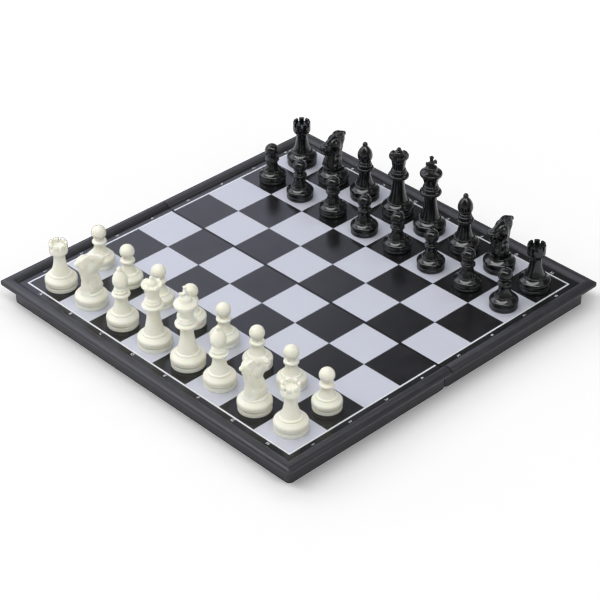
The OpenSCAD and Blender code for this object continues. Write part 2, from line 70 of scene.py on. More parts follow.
CAMERA_AZIMUTH = 46.686  # degrees, 0 looks along +Y
CAMERA_ELEVATION = 34.7705
CAMERA_ROLL = -0.6715
CAMERA_DISTANCE = 1.196
CAMERA_LENS = 123.66  # mm, as Blender takes both
SENSOR = 36
CAMERA_AIM = (13.53 * MM, -11.08 * MM, 13.24 * MM)
CAMERA_REACH = 20

# ---------- board ----------

SIDES = ("white", "black")
FILES = "abcdefgh"
SQUARE = 27.8 * MM
FOLD_STRIP = 1.8 * MM
LABEL_H = 2 * MM
CAPITAL_SHARE = 0.7  # height of a capital as a share of the type's size
LABEL_WEIGHT = 0.02 * MM  # how much bolder than the face itself
LABEL_RISE = 0.02 * MM
LABEL_OFF = 4.12 * SQUARE  # from the middle of the board to the middle of a label

surface_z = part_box("black_playfield_film")[1].z


# ---------- finishes ----------


class Finish:
    """A material's node tree, with short calls for the nodes that the finishes share."""

    def __init__(self, name, **sockets):
        self.material = bpy.data.materials.new(name)
        self.material.use_nodes = True
        self.tree = self.material.node_tree
        self.shader = self.tree.nodes["Principled BSDF"]
        for socket, value in sockets.items():
            self.shader.inputs[socket.replace("_", " ")].default_value = value
        self.place = self.node("ShaderNodeTexCoord").outputs["Object"]

    def node(self, kind, links=None, **settings):
        node = self.tree.nodes.new(kind)
        for key, value in settings.items():
            setattr(node, key, value)
        for socket, value in (links or {}).items():
            self.put(node.inputs[socket], value)
        return node

    def put(self, socket, value):
        if isinstance(value, bpy.types.NodeSocket):
            self.tree.links.new(value, socket)
        else:
            socket.default_value = value

    def into(self, socket, value):
        self.put(self.shader.inputs[socket], value)

    def noise(self, size, detail=2.0, stretch=(1, 1, 1), seed=0.0):
        """Soft noise whose features are about size metres across."""
        grain = self.node(
            "ShaderNodeMapping",
            {"Vector": self.place, "Scale": stretch, "Location": (seed, seed, seed)},
        )
        return self.node(
            "ShaderNodeTexNoise",
            {"Vector": grain.outputs[0], "Scale": 1 / size, "Detail": detail},
        ).outputs[0]

    def spread(self, value, low, high, start=0.3, end=0.7):
        """value from start to end becomes low to high."""
        return self.node(
            "ShaderNodeMapRange",
            {0: value, 1: start, 2: end, 3: low, 4: high},
        ).outputs[0]

    def blend(self, factor, a, b):
        """Colour a where factor is 0 and colour b where it is 1."""
        mix = self.node("ShaderNodeMix", data_type="RGBA")
        self.put(mix.inputs[0], factor)
        self.put(mix.inputs[6], a)
        self.put(mix.inputs[7], b)
        return mix.outputs[2]

    def bump(self, height, depth, strength, under=None):
        """A normal from a height map depth metres deep, on top of the normal under."""
        links = {"Height": height, "Distance": depth, "Strength": strength}
        if under is not None:
            links["Normal"] = under
        return self.node("ShaderNodeBump", links).outputs[0]


def rgb(r, g, b):
    """A colour in scene light, as the finishes' sockets take it."""
    return (r, g, b, 1)


def charcoal_finish():
    """Satin moulded plastic: spark-eroded grain, faint flow clouds and a few rubbed patches."""
    f = Finish("charcoal plastic", IOR=1.48)
    clouds = f.noise(28 * MM, 3)
    rubbed = f.noise(7 * MM, 5, seed=0.3)
    grain = f.noise(0.35 * MM, 2)
    tone = f.blend(clouds, rgb(0.021, 0.021, 0.026), rgb(0.028, 0.028, 0.034))
    tone = f.blend(f.spread(rubbed, 0, 1, 0.55, 0.8), tone, rgb(0.036, 0.036, 0.042))
    f.into("Base Color", tone)
    f.into("Roughness", f.spread(rubbed, 0.31, 0.43))
    f.into("Normal", f.bump(grain, 0.012 * MM, 0.6))
    return f.material


def film_finish():
    """Glossy black printed film with faint smudges."""
    f = Finish("printed film", IOR=1.46)
    smudge = f.noise(11 * MM, 4)
    speck = f.noise(0.5 * MM, 2, seed=0.7)
    ink = f.blend(f.spread(smudge, 0, 1), rgb(0.007, 0.007, 0.0075), rgb(0.011, 0.011, 0.0125))
    f.into("Base Color", ink)
    f.into("Roughness", f.spread(smudge, 0.2, 0.26))
    ripple = f.noise(5 * MM, 2, seed=0.2)
    f.into("Normal", f.bump(ripple, 0.02 * MM, 0.5, f.bump(speck, 0.004 * MM, 0.5)))
    return f.material


def foil_finish():
    """Silver foil squares: fine metal flake under a clear satin coat."""
    f = Finish("silver foil", Metallic=0.3, IOR=1.5)
    flake = f.node("ShaderNodeTexVoronoi", {"Vector": f.place, "Scale": 1 / (0.22 * MM)})
    clouds = f.noise(16 * MM, 3)
    tone = f.blend(flake.outputs["Distance"], rgb(0.60, 0.615, 0.68), rgb(0.54, 0.555, 0.62))
    tone = f.blend(f.spread(clouds, 0, 0.35), tone, rgb(0.57, 0.59, 0.665))
    f.into("Base Color", tone)
    f.into("Roughness", f.spread(clouds, 0.52, 0.6))
    f.into("Normal", f.bump(flake.outputs["Distance"], 0.004 * MM, 0.5))
    return f.material


def steel_finish(name, colour, roughness, length):
    """Rolled or turned steel with fine lengthwise lines."""
    f = Finish(name, Metallic=1.0)
    lines = f.noise(0.4 * MM, 3, stretch=(length, 1, 1))
    stain = f.noise(12 * MM, 4)
    dull = tuple(0.8 * c for c in colour)
    f.into("Base Color", f.blend(f.spread(stain, 0, 1), rgb(*dull), rgb(*colour)))
    f.into("Roughness", f.spread(lines, roughness - 0.05, roughness + 0.08))
    f.into("Normal", f.bump(lines, 0.004 * MM, 0.5))
    return f.material


def chessman_place(f):
    """Each man's own patch of the noise, so that no two men are marked alike."""
    luck = f.node("ShaderNodeObjectInfo").outputs["Random"]
    shift = f.node("ShaderNodeCombineXYZ", {0: luck, 1: luck, 2: luck})
    f.place = f.node("ShaderNodeVectorMath", {0: f.place, 1: shift.outputs[0]}).outputs[0]


def ivory_finish():
    """Warm ivory plastic that lets a little light through, a shade yellower in its clouds."""
    f = Finish("ivory plastic", IOR=1.49, Subsurface_Weight=0.45, Subsurface_Scale=2.4 * MM)
    f.shader.inputs["Subsurface Radius"].default_value = (1.0, 0.8, 0.45)
    chessman_place(f)
    clouds = f.noise(9 * MM, 3)
    pores = f.noise(0.5 * MM, 2, seed=0.4)
    tone = f.blend(f.spread(clouds, 0, 1), rgb(0.81, 0.8, 0.68), rgb(0.84, 0.83, 0.725))
    f.into("Base Color", tone)
    f.into("Roughness", f.spread(clouds, 0.42, 0.52))
    f.into("Normal", f.bump(pores, 0.006 * MM, 0.5))
    return f.material


def ebony_finish():
    """Glossy black plastic with faint handling haze."""
    f = Finish("black plastic", IOR=1.5)
    chessman_place(f)
    haze = f.noise(6 * MM, 4)
    pores = f.noise(0.5 * MM, 2, seed=0.4)
    tone = f.blend(f.spread(haze, 0, 1), rgb(0.003, 0.0036, 0.0035), rgb(0.0055, 0.006, 0.0062))
    f.into("Base Color", tone)
    f.into("Roughness", f.spread(haze, 0.13, 0.18))
    f.into("Normal", f.bump(pores, 0.006 * MM, 0.5))
    return f.material


def print_finish():
    """White screen-print ink."""
    f = Finish("white print")
    speck = f.noise(0.3 * MM, 2)
    f.into("Base Color", f.blend(speck, rgb(0.62, 0.63, 0.66), rgb(0.8, 0.81, 0.83)))
    f.into("Roughness", f.spread(speck, 0.45, 0.6))
    return f.material


def line_finish():
    """The bright line printed round the squares."""
    f = Finish("silver line", Metallic=0.2, IOR=1.5)
    speck = f.noise(0.4 * MM, 2)
    f.into("Base Color", f.blend(speck, rgb(0.7, 0.71, 0.74), rgb(0.8, 0.81, 0.84)))
    f.into("Roughness", f.spread(speck, 0.42, 0.5))
    return f.material


charcoal = charcoal_finish()
film = film_finish()
foil = foil_finish()
line = line_finish()
sheet_steel = steel_finish("sheet steel", (0.36, 0.37, 0.39), 0.42, 0.05)
pin_steel = steel_finish("pin steel", (0.52, 0.53, 0.55), 0.25, 0.05)
magnet_plate = steel_finish("nickel plate", (0.55, 0.53, 0.5), 0.2, 0.6)
plastic = {"white": ivory_finish(), "black": ebony_finish()}
white_print = print_finish()


def coat(mesh, material):
    mesh.materials.clear()
    mesh.materials.append(material)


for side in SIDES:
    coat(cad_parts[side + "_playfield_film"].data, film)
    coat(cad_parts[side + "_light_squares"].data, foil)
    coat(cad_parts[side + "_border_line"].data, line)
    coat(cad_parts[side + "_steel_sheet"].data, sheet_steel)
    coat(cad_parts[side + "_hinge_pins"].data, pin_steel)
    coat(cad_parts[side + "_closure_magnets"].data, magnet_plate)


# ---------- mesh helpers ----------


def new_object(name, mesh):
    obj = bpy.data.objects.new(name, mesh)
    bpy.context.scene.collection.objects.link(obj)
    return obj


def mesh_of(name, points, faces):
    mesh = bpy.data.meshes.new(name)
    mesh.from_pydata([tuple(p) for p in points], [], [tuple(f) for f in faces])
    mesh.validate()
    mesh.update()
    return mesh


def smooth_all(mesh, sharp_angle=35):
    mesh.polygons.foreach_set("use_smooth", [True] * len(mesh.polygons))
    mesh.set_sharp_from_angle(angle=math.radians(sharp_angle))


def applied(obj):
    """The object's mesh with its modifiers applied."""
    graph = bpy.context.evaluated_depsgraph_get()
    return bpy.data.meshes.new_from_object(obj.evaluated_get(graph), depsgraph=graph)


def rounded(mesh, width, angle=40, segments=2):
    """A copy of the mesh with its sharp edges rounded over."""
    obj = new_object("scratch", mesh)
    bevel = obj.modifiers.new("bevel", "BEVEL")
    bevel.width = width
    bevel.segments = segments
    bevel.limit_method = "ANGLE"
    bevel.angle_limit = math.radians(angle)
    bevel.use_clamp_overlap = True
    bevel.miter_outer = "MITER_ARC"
    result = applied(obj)
    bpy.data.objects.remove(obj)
    return result


def joined(name, meshes):
    """One mesh from several."""
    build = bmesh.new()
    for mesh in meshes:
        build.from_mesh(mesh)
    bmesh.ops.recalc_face_normals(build, faces=build.faces)
    whole = bpy.data.meshes.new(name)
    build.to_mesh(whole)
    build.free()
    return whole


# ---------- turned shapes ----------

ARC_STEPS = 7
TURN_STEPS = 96
EDGE_R = 0.12 * MM


def arc(p, q, bend):
    """Points along the arc from p to q. A positive bend bulges to the right of the way it runs."""
    p, q = np.array(p), np.array(q)
    chord = q - p
    length = float(np.hypot(*chord))
    rise = bend * length / 2
    r = (length**2 / 4 + rise**2) / (2 * rise)
    centre = (p + q) / 2 + np.array([chord[1], -chord[0]]) / length * (rise - r)
    start = math.atan2(*(p - centre)[::-1])
    turn = 4 * math.atan(bend)
    angles = start + turn * np.arange(1, ARC_STEPS + 1) / ARC_STEPS
    return [tuple(centre + abs(r) * np.array([math.cos(a), math.sin(a)])) for a in angles]


def bowed(path):
    """A path of (x, y) corners, where (x, y, bend) ends an arc."""
    points = [path[0][:2]]
    for before, corner in zip(path, path[1:]):
        points += [corner] if len(corner) < 3 else arc(before[:2], corner[:2], corner[2])
    return points


def turned(name, outline, angles=None, reshape=None):
    """The solid that an outline of (radius, height) points makes round the z axis.
    The outline starts and ends on the axis. reshape changes the points of all rings at once."""
    if angles is None:
        angles = np.arange(TURN_STEPS) * 2 * math.pi / TURN_STEPS
    rings = np.array(outline[1:-1], float)
    n = len(angles)
    points = np.stack(
        [
            np.outer(rings[:, 0], np.cos(angles)),
            np.outer(rings[:, 0], np.sin(angles)),
            np.repeat(rings[:, 1:], n, axis=1),
        ],
        axis=-1,
    )
    if reshape:
        points = reshape(points, rings, angles)
    points = np.vstack([points.reshape(-1, 3), [[0, 0, outline[0][1]], [0, 0, outline[-1][1]]]])
    low, high = len(points) - 2, len(points) - 1
    faces = []
    for j in range(n):
        k = (j + 1) % n
        faces.append((low, k, j))
        for i in range(len(rings) - 1):
            faces.append((i * n + j, i * n + k, (i + 1) * n + k, (i + 1) * n + j))
        last = (len(rings) - 1) * n
        faces.append((last + j, last + k, high))
    return mesh_of(name, points, faces)


# ---------- chessmen: outlines in millimetres, from the middle of the foot upwards ----------

FOOT_H = 9.6
CAP_INSET = 1.3  # wall of a foot round its cap
CAP_GAP = 0.15
CAP_DEPTH = 0.3
STEM_STEPS = 10
STEM_POWER = 2.1
RING_H = 1.8
RING_STEP = 0.6  # how much smaller the upper ring's radius is
RING_LIP = 0.6  # how far a ring stands out from the neck above it


def foot(r, step_r, h=FOOT_H):
    """A foot of radius r with the joint round its cap, up to the step where the stem starts."""
    cap = r - CAP_INSET
    return [
        (0, 0),
        (cap - CAP_GAP, 0),
        (cap - CAP_GAP, CAP_DEPTH),
        (cap, CAP_DEPTH),
        (cap, 0),
        (0.955 * r, 0),
        (0.98 * r, 0.05 * h, 0.4),
        (0.98 * r, 0.25 * h),
        (0.955 * r, 0.29 * h, -0.3),
        (0.98 * r, 0.33 * h, -0.3),
        (r, 0.48 * h, 0.25),
        (0.93 * r, 0.72 * h, 0.3),
        (step_r + 0.7, 0.9 * h, -0.05),
        (step_r, h, 0.45),
    ]


def stem(step_r, stem_r, z, h):
    """A stem that sweeps in from the foot's step."""
    path = []
    for k in range(STEM_STEPS + 1):
        left = 1 - k / STEM_STEPS
        path.append((stem_r + (step_r - 0.4 - stem_r) * left**STEM_POWER, z + h * (1 - left)))
    return path


def collar(r, z, h):
    return [
        (r - 1, z + 0.25 * h, 0.1),
        (r, z + 0.52 * h, 0.4),
        (r - 0.85, z + 0.92 * h, 0.4),
        (r - 1.7, z + h),
    ]


def ring(r, z):
    return [
        (r, z + 0.46 * RING_H, 0.5),
        (r - 0.35, z + 0.92 * RING_H, 0.3),
        (r - RING_LIP, z + RING_H),
    ]


def bust(foot_r, step_r, stem_r, stem_h, collar_r, collar_h, ring_r):
    """A foot, stem and collar with two rings above it. Returns the outline and where it ends."""
    z = FOOT_H + stem_h
    path = foot(foot_r, step_r) + stem(step_r, stem_r, FOOT_H, stem_h)
    path += collar(collar_r, z, collar_h) + ring(ring_r, z + collar_h)
    path += ring(ring_r - RING_STEP, z + collar_h + RING_H)
    return path, ring_r - RING_STEP - RING_LIP, z + collar_h + 2 * RING_H


def metres(path):
    """The points of a bowed path in mm, in metres."""
    return [(x * MM, y * MM) for x, y in bowed(path)]


def pawn_mesh():
    foot_h, stem_h = 8.4, 6.1
    neck, head, top = 2.8, 4.4, 18.4
    start = math.acos(neck / head)
    middle = top + head * math.sin(start)
    path = foot(8.5, 5.4, foot_h) + stem(5.4, 3.25, foot_h, stem_h)
    path += [
        (3.95, 15.0, 0.1),
        (4.35, 15.75, 0.5),
        (3.75, 16.63, 0.4),
        (neck, 17, -0.2),
        (neck, top),
        (head, middle, math.tan(start / 4)),
        (0, middle + head, math.tan(math.pi / 8)),
    ]
    return rounded(turned("pawn", metres(path)), EDGE_R)


def bishop_mesh():
    path, _, z = bust(
        foot_r=9.3, step_r=6, stem_r=3.55, stem_h=9.6, collar_r=5.4, collar_h=3, ring_r=4.3
    )
    wide, h, ball = 4.5, 10.7, 1.45
    path += [
        (wide, z + 0.32 * h, 0.15),
        (0.83 * wide, z + 0.68 * h, 0.13),
        (0.7 * ball, z + h, 0.1),
        (ball, z + h + 0.7 * ball, 0.4),
        (0, z + h + 1.7 * ball, 0.4),
    ]
    return rounded(turned("bishop", metres(path)), EDGE_R)


QUEEN_PETALS = 8
PETAL_DEPTH = 1.5


def queen_mesh():
    path, neck, z = bust(
        foot_r=9.9, step_r=6.4, stem_r=3.6, stem_h=15.6, collar_r=6.3, collar_h=3.4, ring_r=5
    )
    wide, h, ball, knob = 5.9, 9.8, 1.15, 2.8
    well = 0.55 * wide
    rim_z = z + h
    path += [
        (neck + 0.15 * (wide - neck), z + 0.33 * h, -0.05),
        (wide - 0.3, z + 0.77 * h, -0.15),
        (wide, z + 0.9 * h, 0.3),
        (wide - 0.4, z + h, 0.3),
        (well, z + 0.9 * h),
        (knob, z + 1.05 * h, 0.1),
        (0.55 * knob, z + 1.2 * h, 0.25),
        (0.8 * ball, z + 1.24 * h),
        (ball, z + 1.24 * h + 0.8 * ball, 0.4),
        (0, z + 1.24 * h + 1.8 * ball, 0.4),
    ]

    def petals(points, rings, angles):
        """Rounded petals round the coronet's rim, with a notch between each two."""
        notch = 1 - np.sqrt(np.abs(np.cos(angles * QUEEN_PETALS / 2)))
        ceiling = (rim_z - PETAL_DEPTH * notch) * MM
        outside = rings[:, :1] > (well + 0.1) * MM
        upper = rings[:, 1:] > (rim_z - 3) * MM
        capped = np.minimum(points[..., 2], ceiling[None, :])
        points[..., 2] = np.where(outside & upper, capped, points[..., 2])
        return points

    return rounded(turned("queen", metres(path), reshape=petals), EDGE_R)


CROSS_W = 6.4
CROSS_H = 8.2
CROSS_T = 2.0
CROSS_EDGE_R = 0.25 * MM
CROSS_SINK = 3.1  # how deep its lower arm stands in the dome
CROSS_TURN = 75  # degrees


def cross_mesh(z):
    """A flared cross that faces along y, with its lower arm standing at height z."""
    w, h, waist, flare = CROSS_W / 2, CROSS_H / 2, 0.65, 1.1
    quarter = [(waist, -waist), (w, -flare, -0.22), (w, flare, 0.12), (waist, waist, -0.22)]
    quarter += [(flare, h, -0.22), (-flare, h, 0.12), (-waist, waist, -0.22)]
    path = quarter + [(-w, flare, -0.22), (-w, -flare, 0.12), (-waist, -waist, -0.22)]
    path += [(-flare, -h, -0.22), (flare, -h, 0.12), (waist, -waist, -0.22)]
    ring_points = bowed(path)[:-1]
    n = len(ring_points)
    points = [
        (x * MM, y * MM, (z + h + up) * MM)
        for y in (-CROSS_T / 2, CROSS_T / 2)
        for x, up in ring_points
    ]
    faces = [tuple(range(n)), tuple(range(2 * n - 1, n - 1, -1))]
    faces += [(k, k + n, (k + 1) % n + n, (k + 1) % n) for k in range(n)]
    return rounded(mesh_of("cross", points, faces), CROSS_EDGE_R, segments=3)


def king_mesh():
    path, neck, z = bust(
        foot_r=10, step_r=6.5, stem_r=3.65, stem_h=16, collar_r=6.6, collar_h=3.3, ring_r=5.1
    )
    wide, h, dome, dome_h = 6.65, 8.9, 3.75, 5.1
    top = z + h
    tip = top + dome_h
    path += [
        (neck + 0.25 * (wide - neck), z + 0.42 * h, -0.08),
        (neck + 0.85 * (wide - neck), z + 0.74 * h, -0.08),
        (wide, z + 0.92 * h, 0.3),
        (wide - 0.5, top, 0.3),
        (dome, top + 0.2 * dome_h, 0.05),
        (dome - 0.2, top + 0.55 * dome_h),
        (dome - 0.9, top + 0.72 * dome_h, 0.3),
        (1.4, tip),
        (0, tip),
    ]
    body = rounded(turned("king", metres(path)), EDGE_R)
    cross = cross_mesh(tip - CROSS_SINK)
    cross.transform(Matrix.Rotation(math.radians(CROSS_TURN), 4, "Z"))
    return joined("king", [body, cross])


ROOK_GAPS = 7
ROOK_GAP_W = 1.4
MERLON_STEPS, GAP_STEPS = 10, 3  # facets round a merlon and round a gap
MERLON_ROOT = 0.3  # how far a merlon reaches into the turret
MERLON_EDGE_R = 0.2 * MM


def rook_mesh():
    foot_r, step_r, stem_h = 9.6, 6.25, 11.1
    wide, well, low = 5.35, 3.85, 3.4
    z, turret, gap_h = FOOT_H + stem_h, 24.6, 2.5
    top = turret + 5.6
    path = foot(foot_r, step_r) + stem(step_r, low, FOOT_H, stem_h)
    path += [
        (low + 0.3 * (wide - low), z + 1.68, -0.15),
        (wide - 0.1, z + 3.12, 0.25),
        (wide, turret, 0.1),
        (wide, top - gap_h),
        (well, top - gap_h),
        (0, top - gap_h),
    ]
    half_gap = ROOK_GAP_W / 2 / ((wide + well) / 2)
    sector = 2 * math.pi / ROOK_GAPS
    pattern = np.concatenate(
        [
            np.linspace(-half_gap, half_gap, GAP_STEPS + 1)[:-1],
            np.linspace(half_gap, sector - half_gap, MERLON_STEPS + 1)[:-1],
        ]
    )
    angles = np.concatenate([pattern + k * sector for k in range(ROOK_GAPS)])
    body = turned("rook", metres(path), angles=angles)
    merlons = []
    for k in range(ROOK_GAPS):
        around = np.linspace(half_gap, sector - half_gap, MERLON_STEPS + 1) + k * sector
        root = top - gap_h - MERLON_ROOT
        section = [(wide, root), (wide, top), (well, top), (well, root)]
        points = [
            (r * math.cos(a) * MM, r * math.sin(a) * MM, h * MM)
            for a in around
            for r, h in section
        ]
        last = 4 * MERLON_STEPS
        faces = [(3, 2, 1, 0), (last, last + 1, last + 2, last + 3)]
        for s in range(0, last, 4):
            faces += [(s + c, s + (c + 1) % 4, s + 4 + (c + 1) % 4, s + 4 + c) for c in range(4)]
        merlons.append(rounded(mesh_of("merlon", points, faces), MERLON_EDGE_R, segments=3))
    return joined("rook", [rounded(body, EDGE_R)] + merlons)


# ---------- knight: a horse carved from a field ----------

HORSE_STEP = 0.3  # mm between samples of the field
HORSE_SPAN = ((-7.2, 7.21), (-11.7, 11.71), (9.0, 34.9))  # where it is sampled along x, y, z
HORSE_CALM = 5  # rounds of smoothing

# The horse's outline from the side, (y, z) in mm from the middle of the foot, nose towards -y
HORSE_SIDE = [
    (-6.0, 8.2), (-6.7, 11.2), (-7.2, 14.0), (-6.6, 16.8), (-5.5, 19.2), (-5.3, 20.6),
    (-6.4, 21.5), (-8.0, 22.1), (-9.4, 23.4), (-10.3, 25.2), (-10.5, 27.0), (-9.9, 28.5),
    (-8.4, 29.3), (-6.4, 29.9), (-4.6, 30.5), (-2.6, 31.4), (-0.6, 32.3), (1.6, 33.1),
    (4.4, 33.4), (6.8, 33.2), (8.2, 32.7), (9.3, 31.9), (9.9, 30.8), (9.4, 29.6),
    (8.5, 28.6), (8.1, 26.8), (7.2, 24.0), (6.2, 21.0), (5.7, 17.5), (5.7, 14.0),
    (6.0, 11.0), (6.1, 8.2),
]  # fmt: skip
# Half the horse's thickness at places on its side: (y, z, half thickness)
HORSE_WIDTH = [
    (0, 8, 6.1), (-5, 8, 5.4), (5, 8, 5.4), (0, 12, 5.0), (-5, 12, 4.8), (5, 13, 3.8),
    (-1, 16, 4.2), (-6, 16, 3.7), (5, 17, 3.0), (0, 20, 3.8), (5, 22, 2.9), (-3, 22.5, 3.4),
    (0, 25, 3.9), (-2, 27, 3.7), (-6, 26, 3.0), (-9, 26, 3.0), (-9, 28, 2.6), (-6, 28.5, 2.8),
    (-3, 29.5, 2.9), (0, 31, 3.0), (3, 32, 3.0), (6, 32, 2.7), (9, 31, 1.6), (6, 28, 2.8),
    (7, 25, 2.4),
]  # fmt: skip


def closed_spline(points, steps=6):
    """A smooth closed line through the points."""
    p = np.array(points, float)
    a, b, c, d = (np.roll(p, shift, axis=0) for shift in (1, 0, -1, -2))
    slope, curl, twist = c - a, 2 * a - 5 * b + 4 * c - d, 3 * b - a - 3 * c + d
    parts = [
        0.5 * (2 * b + slope * t + curl * t**2 + twist * t**3) for t in np.arange(steps) / steps
    ]
    return np.stack(parts, axis=1).reshape(-1, 2)


def outline_depth(outline, y, z):
    """How far each point lies inside a closed outline; below 0 outside it."""
    p = np.stack([y, z], axis=-1)
    depth = np.full(y.shape, np.inf)
    inside = np.zeros(y.shape, bool)
    for a, b in zip(outline, np.roll(outline, -1, axis=0)):
        edge, off = b - a, p - a
        t = np.clip((off @ edge) / (edge @ edge), 0, 1)
        depth = np.minimum(depth, np.hypot(*np.moveaxis(off - t[..., None] * edge, -1, 0)))
        crosses = (a[1] > z) != (b[1] > z)
        with np.errstate(divide="ignore", invalid="ignore"):
            inside ^= crosses & (y < (b[0] - a[0]) * (z - a[1]) / (b[1] - a[1]) + a[0])
    return np.where(inside, depth, -depth)


def ellipsoid(p, centre, radii, tilt=0.0):
    """A rough distance to an ellipsoid, tipped nose down about x by tilt degrees."""
    q = p - np.array(centre)
    c, s = math.cos(math.radians(tilt)), math.sin(math.radians(tilt))
    y, z = q[..., 1] * c + q[..., 2] * s, q[..., 2] * c - q[..., 1] * s
    scaled = np.stack([q[..., 0] / radii[0], y / radii[1], z / radii[2]], axis=-1)
    return (np.linalg.norm(scaled, axis=-1) - 1) * min(radii)


def rod(p, start, end, r):
    """Distance to a round-ended rod."""
    a, b = np.array(start, float), np.array(end, float)
    t = np.clip(((p - a) @ (b - a)) / ((b - a) @ (b - a)), 0, 1)
    return np.linalg.norm(p - a - t[..., None] * (b - a), axis=-1) - r


def add(a, b, soft):
    """Union of two fields with a soft seam."""
    h = np.clip(0.5 + 0.5 * (b - a) / soft, 0, 1)
    return b * (1 - h) + a * h - soft * h * (1 - h)


def cut(a, b, soft):
    """a with b taken out of it."""
    return -add(-a, b, soft)


def ramp(value, start, end):
    """0 up to start and 1 from end on, with a soft step between them."""
    t = np.clip((value - start) / (end - start), 0, 1)
    return t * t * (3 - 2 * t)


MANE_W = 3.9
MANE_RISE = 0.35
LOCK_PITCH = 1.5
LOCK_DEPTH = 0.35
HORSE_EDGE = 3.6  # how far in from its outline the horse's sides reach their full width
HORSE_FOOT_Z = 9.3  # where the horse starts, inside the foot's top


def horse_field(x, y, z):
    """The horse's field in mm: below 0 inside it. x, y and z are the samples along each axis."""
    side_y, side_z = np.meshgrid(y, z, indexing="ij")
    outline = closed_spline(HORSE_SIDE)
    depth = outline_depth(outline, side_y, side_z)
    anchors = np.array(HORSE_WIDTH)
    off = (side_y[..., None] - anchors[:, 0]) ** 2 + (side_z[..., None] - anchors[:, 1]) ** 2
    weight = 1 / (off + 0.6) ** 2
    width = (weight * anchors[:, 2]).sum(-1) / weight.sum(-1)

    # the mane: long locks a little proud along the neck, whose back edge is at edge_y
    edge_y = 5.9 + 0.14 * np.clip(side_z - 14, 0, 16)
    from_back = edge_y - side_y
    on_mane = ramp(from_back, MANE_W + 0.5, MANE_W - 0.5) * ramp(side_z, 10.5, 12.5)
    on_mane *= ramp(side_z, 31.5, 29.5)
    lock = np.sin(2 * math.pi * (from_back + 0.1 * side_z) / LOCK_PITCH)
    width = width + on_mane * (MANE_RISE + LOCK_DEPTH * 0.5 * lock)

    bulge = 1 - np.clip(depth / HORSE_EDGE, -2, 1)
    px, py, pz = np.meshgrid(np.abs(x), y, z, indexing="ij")
    p = np.stack([px, py, pz], axis=-1)
    body = (np.sqrt((px / width) ** 2 + bulge**2) - 1) * np.minimum(width, HORSE_EDGE)

    # cheek, muzzle, chin, brow, eye socket and eyeball, nostril, mouth, hollow beside the nose
    body = add(body, ellipsoid(p, (2.6, 0.6, 25.4), (1.7, 3.2, 3.6), -20), 0.8)
    body = add(body, ellipsoid(p, (1.5, -8.2, 27.3), (1.7, 2.1, 1.6), 12), 1.2)
    body = add(body, ellipsoid(p, (1.2, -7.6, 23.3), (1.6, 1.9, 1.0), 28), 0.5)
    body = add(body, ellipsoid(p, (2.0, -0.8, 30.8), (1.1, 2.3, 0.7), 32), 0.6)
    body = cut(body, ellipsoid(p, (3.2, -1.5, 29.3), (1.0, 1.7, 1.0), 32), 0.5)
    body = add(body, ellipsoid(p, (2.25, -1.5, 29.35), (0.85, 0.95, 0.8)), 0.15)
    body = cut(body, ellipsoid(p, (2.9, -9.3, 27.5), (1.0, 0.75, 0.55), 35), 0.4)
    body = cut(body, rod(p, (2.2, -10.6, 24.9), (3.6, -5.6, 25.0), 0.42), 0.4)
    body = cut(body, rod(p, (3.0, -4.6, 28.0), (2.8, -7.4, 27.3), 0.35), 0.6)

    # ears laid back along the poll, and the tuft behind them
    body = add(body, ellipsoid(p, (1.7, 4.0, 32.6), (1.0, 3.0, 1.1), -6), 0.5)
    body = cut(body, ellipsoid(p, (2.5, 3.7, 32.8), (0.6, 1.9, 0.45), -6), 0.4)
    body = cut(body, rod(p, (0, 0.6, 33.9), (0, 7.4, 34.0), 0.8), 0.5)
    body = add(body, ellipsoid(p, (0, 8.9, 30.9), (1.3, 1.2, 1.2)), 0.5)

    # the line of the jaw, and the fold where the neck meets the chest
    body = cut(body, rod(p, (4.3, 3.7, 28.6), (4.2, 3.3, 22.8), 0.45), 0.8)
    body = cut(body, rod(p, (4.2, 3.3, 22.8), (3.9, -1.0, 21.2), 0.45), 0.8)
    body = add(body, rod(p, (2.6, -2.9, 19.4), (3.9, -5.0, 12.4), 1.0), 1.0)
    body = cut(body, rod(p, (4.2, -0.7, 18.8), (5.6, -2.6, 11.6), 0.5), 1.0)
    return body


def surface_of(field, origin, step):
    """Points and quads where a sampled field crosses 0: one point in each cell that it crosses."""
    low = np.array(origin, float)
    shape = np.array(field.shape) - 1
    total, count = np.zeros((*shape, 3)), np.zeros(shape)
    corners = [(i, j, k) for i in (0, 1) for j in (0, 1) for k in (0, 1)]

    def at(corner):
        return field[tuple(slice(c, c + n) for c, n in zip(corner, shape))]

    for a in corners:
        for axis in range(3):
            if a[axis]:
                continue
            b = tuple(c + (d == axis) for d, c in enumerate(a))
            fa, fb = at(a), at(b)
            hit = (fa < 0) != (fb < 0)
            with np.errstate(divide="ignore", invalid="ignore"):
                t = np.where(hit, fa / (fa - fb), 0)
            spot = np.zeros((*shape, 3)) + np.array(a, float)
            spot[..., axis] += t
            total += spot * hit[..., None]
            count += hit
    cells = np.argwhere(count > 0)
    number = np.full(shape, -1)
    number[tuple(cells.T)] = np.arange(len(cells))
    mean = total[tuple(cells.T)] / count[tuple(cells.T)][:, None]
    points = low + (cells + mean) * step
    quads = []
    for axis in range(3):
        one, two = (axis + 1) % 3, (axis + 2) % 3
        lo = [slice(1, n) for n in shape]
        lo[axis] = slice(0, shape[axis])
        hi = list(lo)
        hi[axis] = slice(1, shape[axis] + 1)
        fa, fb = field[tuple(lo)], field[tuple(hi)]
        base = np.array([s.start for s in lo])
        for sign in (True, False):
            hit = np.argwhere(((fa < 0) == sign) & ((fb < 0) != sign)) + base
            ring_of = []
            for d1, d2 in ((1, 1), (0, 1), (0, 0), (1, 0)):
                cell = hit.copy()
                cell[:, one] -= d1
                cell[:, two] -= d2
                ring_of.append(number[tuple(cell.T)])
            quad = np.stack(ring_of, axis=1)
            quads.append(quad if sign else quad[:, ::-1])
    return points, np.concatenate(quads)


